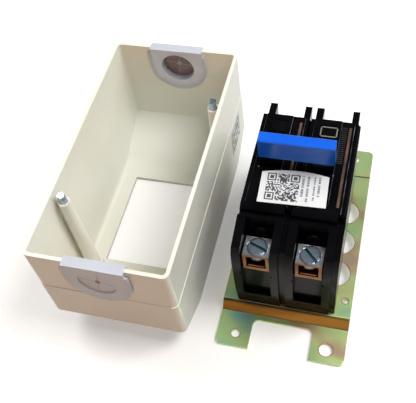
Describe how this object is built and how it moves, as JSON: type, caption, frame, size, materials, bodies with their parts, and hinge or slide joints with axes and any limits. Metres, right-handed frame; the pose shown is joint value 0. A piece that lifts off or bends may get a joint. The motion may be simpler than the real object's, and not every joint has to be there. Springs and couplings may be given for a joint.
{
  "type": "motor protection breaker",
  "caption": "Two-pole bolt-on moulded-case breaker with a common handle bar on a joggled steel plate, beside its open ivory surface cover with cable grommets.",
  "frame": {"origin": "centre of the four foot holes of the mounting plate, on the underside of its feet", "axes": "+X across the poles to the right, +Y towards the line terminals, +Z away from the wall towards the handle"},
  "size_m": [0.151, 0.1462, 0.0862],
  "materials": {
    "yellow_zinc_steel": "yellow zinc passivate, slightly iridescent",
    "zinc_screw": "bright zinc",
    "rivet_brass": "dark, tarnished",
    "black_moulding": "glossy moulded thermoset",
    "tinned_metal": "tin plated, copper at the sheared edges",
    "copper": "plain copper",
    "bimetal": "satin",
    "plain_steel": "satin",
    "silver_contact": "silver alloy",
    "fibre": "vulcanised fibre",
    "blue_plastic": "glossy",
    "trip_plastic": "satin",
    "label_paper": "printed film",
    "ivory_plastic": "glossy",
    "milky_vinyl": "soft translucent vinyl"
  },
  "bodies": {
    "breaker": {"mounting_plate": "yellow_zinc_steel", "breaker_screws": "zinc_screw", "case_rivets": "rivet_brass", "handle_pin": "plain_steel", "arm_pins": "plain_steel", "lever_pins": "plain_steel", "breaker_label": "label_paper", "left_case": "black_moulding", "left_side_cover": "black_moulding", "left_lug": "tinned_metal", "left_load_strap": "copper", "left_calibration_screw": "zinc_screw", "left_bimetal": "bimetal", "left_magnet_yoke": "plain_steel", "left_fixed_contact": "silver_contact", "left_line_strap": "copper", "left_arc_plates": "plain_steel", "left_chute_frame": "fibre", "left_braid": "copper", "right_case": "black_moulding", "right_side_cover": "black_moulding", "right_lug": "tinned_metal", "right_load_strap": "copper", "right_calibration_screw": "zinc_screw", "right_bimetal": "bimetal", "right_magnet_yoke": "plain_steel", "right_fixed_contact": "silver_contact", "right_line_strap": "copper", "right_arc_plates": "plain_steel", "right_chute_frame": "fibre", "right_braid": "copper"},
    "handle": {"handle_bar": "blue_plastic", "left_toggle": "black_moulding", "left_main_spring": "plain_steel", "right_toggle": "black_moulding", "right_main_spring": "plain_steel"},
    "left_arm": {"left_contact_arm": "copper", "left_moving_contact": "silver_contact"},
    "right_arm": {"right_contact_arm": "copper", "right_moving_contact": "silver_contact"},
    "trip_shaft": {"trip_bar": "trip_plastic", "left_armature": "plain_steel", "right_armature": "plain_steel"},
    "left_lever": {"left_trip_lever": "plain_steel"},
    "right_lever": {"right_trip_lever": "plain_steel"},
    "left_clamp": {"left_lug_screw": "zinc_screw"},
    "right_clamp": {"right_lug_screw": "zinc_screw"},
    "cover": {"cover_shell": "ivory_plastic", "near_grommet": "milky_vinyl", "far_grommet": "milky_vinyl", "cover_label": "label_paper"},
    "near_screw": {"near_cover_screw": "zinc_screw"},
    "far_screw": {"far_cover_screw": "zinc_screw"}
  },
  "joints": [
    {"name": "handle_swing", "type": "hinge", "parent": "breaker", "child": "handle", "pos_m": [0, 0.006, 0.048], "axis": [-1, 0, 0], "range_deg": [0, 20]},
    {"name": "left_arm_swing", "type": "hinge", "parent": "breaker", "child": "left_arm", "pos_m": [-0.0138, 0, 0.034], "axis": [-1, 0, 0], "range_deg": [0, 22]},
    {"name": "right_arm_swing", "type": "hinge", "parent": "breaker", "child": "right_arm", "pos_m": [0.0112, 0, 0.034], "axis": [-1, 0, 0], "range_deg": [0, 22]},
    {"name": "trip_bar_tilt", "type": "hinge", "parent": "breaker", "child": "trip_shaft", "pos_m": [0, -0.018, 0.038], "axis": [-1, 0, 0], "range_deg": [0, 5], "stiffness_Nm_per_rad": 0.002, "springref_deg": -17.19},
    {"name": "left_lever_drop", "type": "hinge", "parent": "breaker", "child": "left_lever", "pos_m": [-0.0138, -0.004, 0.051], "axis": [1, 0, 0], "range_deg": [0, 10]},
    {"name": "right_lever_drop", "type": "hinge", "parent": "breaker", "child": "right_lever", "pos_m": [0.0112, -0.004, 0.051], "axis": [1, 0, 0], "range_deg": [0, 10]},
    {"name": "left_clamp_turn", "type": "hinge", "parent": "breaker", "child": "left_clamp", "pos_m": [-0.0138, -0.04005, 0.055], "axis": [0, 0, 1], "continuous": true},
    {"name": "right_clamp_turn", "type": "hinge", "parent": "breaker", "child": "right_clamp", "pos_m": [0.0112, -0.04005, 0.055], "axis": [0, 0, 1], "continuous": true},
    {"name": "cover_lift", "type": "slide", "parent": "breaker", "child": "cover", "axis": [0, 0, 1], "range_m": [0, 0.08]},
    {"name": "near_screw_turn", "type": "hinge", "parent": "cover", "child": "near_screw", "pos_m": [-0.1112, -0.0372, 0.003], "axis": [0, 0, 1], "continuous": true},
    {"name": "far_screw_turn", "type": "hinge", "parent": "cover", "child": "far_screw", "pos_m": [-0.0522, 0.0338, 0.003], "axis": [0, 0, 1], "continuous": true}
  ],
  "couplings": [
    {"joint": "left_arm_swing", "follows": "handle_swing", "ratio": 1.1},
    {"joint": "right_arm_swing", "follows": "handle_swing", "ratio": 1.1},
    {"joint": "left_lever_drop", "follows": "trip_bar_tilt", "ratio": 2},
    {"joint": "right_lever_drop", "follows": "trip_bar_tilt", "ratio": 2}
  ]
}
